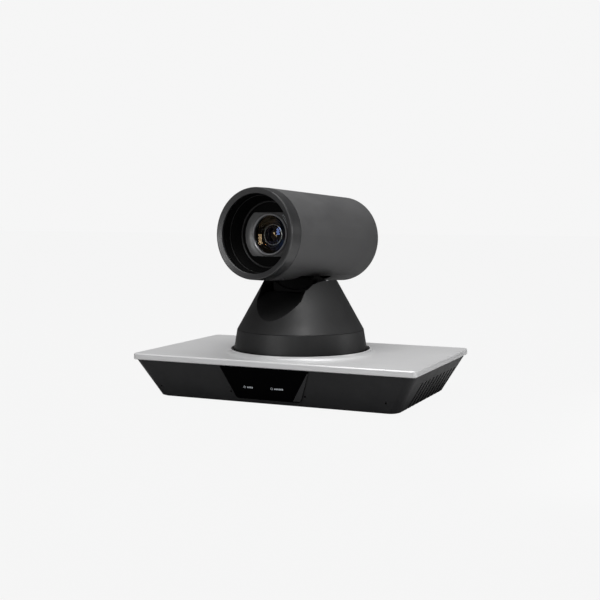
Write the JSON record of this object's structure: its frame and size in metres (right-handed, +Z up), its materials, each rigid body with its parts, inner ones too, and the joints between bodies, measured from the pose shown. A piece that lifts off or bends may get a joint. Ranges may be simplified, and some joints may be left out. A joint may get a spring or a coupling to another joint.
{
  "type": "ptz camera",
  "caption": "Pan-tilt-zoom conference camera: wedge-sided base with a metal top plate, a conical turret that pans and a cylindrical hooded head that tilts.",
  "frame": {"origin": "middle of the camera's bounding box on the surface it stands on, under the feet", "axes": "+Z up, front of the base towards -Y, +X to the right seen from the front; the head rests turned 9 degrees towards -X and 3 degrees up, as pictured"},
  "size_m": [0.2416, 0.1485, 0.1702],
  "materials": {
    "base_plastic": "fine satin moulded texture",
    "plate_aluminium": "bead-blasted, anodised silver with bright chamfers",
    "window_gloss": "infrared-clear gloss black",
    "circuit_board": "green solder mask",
    "led_lens": "clear diffuse lens",
    "vent_mesh": "black dust mesh",
    "jack_plastic": "black moulded",
    "switch_plastic": "black, slightly glossy",
    "port_metal": "nickel-plated shell",
    "foot_rubber": "matt black rubber",
    "brass_bush": "turned",
    "dark_screw": "black zinc",
    "bright_screw": "zinc",
    "cast_frame": "cast aluminium",
    "black_casting": "black-painted casting, matt",
    "sheet_frame": "pressed steel",
    "bearing_steel": "ground steel",
    "motor_case": "black-grey steel can",
    "pulley_aluminium": "turned",
    "belt_rubber": "timing-belt rubber",
    "turret_plastic": "fine satin moulded texture",
    "gear_plastic": "natural acetal",
    "head_plastic": "charcoal, fine matt texture",
    "hood_plastic": "darker charcoal, satin",
    "baffle_black": "anti-reflection black",
    "bezel_plastic": "dark grey satin",
    "lens_glass": "multi-coated optical glass",
    "magnet_metal": "nickel-plated magnet"
  },
  "bodies": {
    "base": {"base_tray": "base_plastic", "top_plate": "plate_aluminium", "front_window": "window_gloss", "status_board": "circuit_board", "status_leds": "led_lens", "ir_receiver": "jack_plastic", "microphones": "port_metal", "vent_screens": "vent_mesh", "main_board": "circuit_board", "rear_panel": "base_plastic", "dc_jack": "jack_plastic", "power_switch": "switch_plastic", "sdi_jack": "port_metal", "hdmi_port": "port_metal", "usb_port": "port_metal", "lan_jack": "port_metal", "audio_jacks": "jack_plastic", "serial_jacks": "jack_plastic", "feet": "foot_rubber", "tripod_insert": "brass_bush", "base_screws": "dark_screw", "panel_screws": "bright_screw", "pan_pedestal": "cast_frame", "pan_bearings": "bearing_steel", "pan_motor": "motor_case", "pan_belt": "belt_rubber"},
    "power_rocker": {"power_rocker": "switch_plastic"},
    "pan_drive": {"pan_motor_pulley": "pulley_aluminium"},
    "turret": {"turret_ring": "turret_plastic", "turret_shell": "turret_plastic", "turret_plate": "cast_frame", "turret_pulley": "pulley_aluminium", "turret_screws": "dark_screw", "yoke": "black_casting", "tilt_pins": "bearing_steel", "tilt_sector": "gear_plastic"},
    "head": {"head_shell": "head_plastic", "head_cover": "head_plastic", "hood_ring": "hood_plastic", "lens_baffle": "baffle_black", "lens_bezel": "bezel_plastic", "lens_housing": "baffle_black", "front_glass": "lens_glass", "iris": "baffle_black", "guide_rods": "bearing_steel", "drive_magnets": "magnet_metal", "sensor_board": "circuit_board", "head_frame": "sheet_frame", "tilt_bushes": "brass_bush", "tilt_motor": "motor_case", "head_board": "circuit_board", "head_screws": "dark_screw"},
    "tilt_drive": {"tilt_pinion": "gear_plastic"},
    "zoom_group": {"zoom_carrier": "baffle_black", "zoom_lens": "lens_glass"},
    "focus_group": {"focus_carrier": "baffle_black", "focus_lens": "lens_glass"}
  },
  "joints": [
    {"name": "pan", "type": "hinge", "parent": "base", "child": "turret", "pos_m": [0, -0.0028, 0.04], "axis": [0, 0, 1], "range_deg": [-161, 179]},
    {"name": "tilt", "type": "hinge", "parent": "turret", "child": "head", "pos_m": [0, -0.0028, 0.1312], "axis": [-0.9877, 0.1564, 0], "range_deg": [-25, 19]},
    {"name": "pan_motor_spin", "type": "hinge", "parent": "base", "child": "pan_drive", "pos_m": [0.05, -0.0028, 0.024], "axis": [0, 0, 1], "range_deg": [-806, 896]},
    {"name": "tilt_motor_spin", "type": "hinge", "parent": "head", "child": "tilt_drive", "pos_m": [0.00469, 0.02679, 0.12963], "axis": [-0.9877, 0.1564, 0], "range_deg": [-101, 77]},
    {"name": "zoom", "type": "slide", "parent": "head", "child": "zoom_group", "axis": [0.1562, 0.9863, -0.0523], "range_m": [-0.006, 0.009]},
    {"name": "focus", "type": "slide", "parent": "head", "child": "focus_group", "axis": [0.1562, 0.9863, -0.0523], "range_m": [-0.006, 0.006]},
    {"name": "power_switch", "type": "hinge", "parent": "base", "child": "power_rocker", "pos_m": [0.074, 0.0573, 0.0165], "axis": [-1, 0, 0], "range_deg": [0, 16]}
  ],
  "couplings": [
    {"joint": "pan_motor_spin", "follows": "pan", "ratio": 5},
    {"joint": "tilt_motor_spin", "follows": "tilt", "ratio": 4}
  ]
}
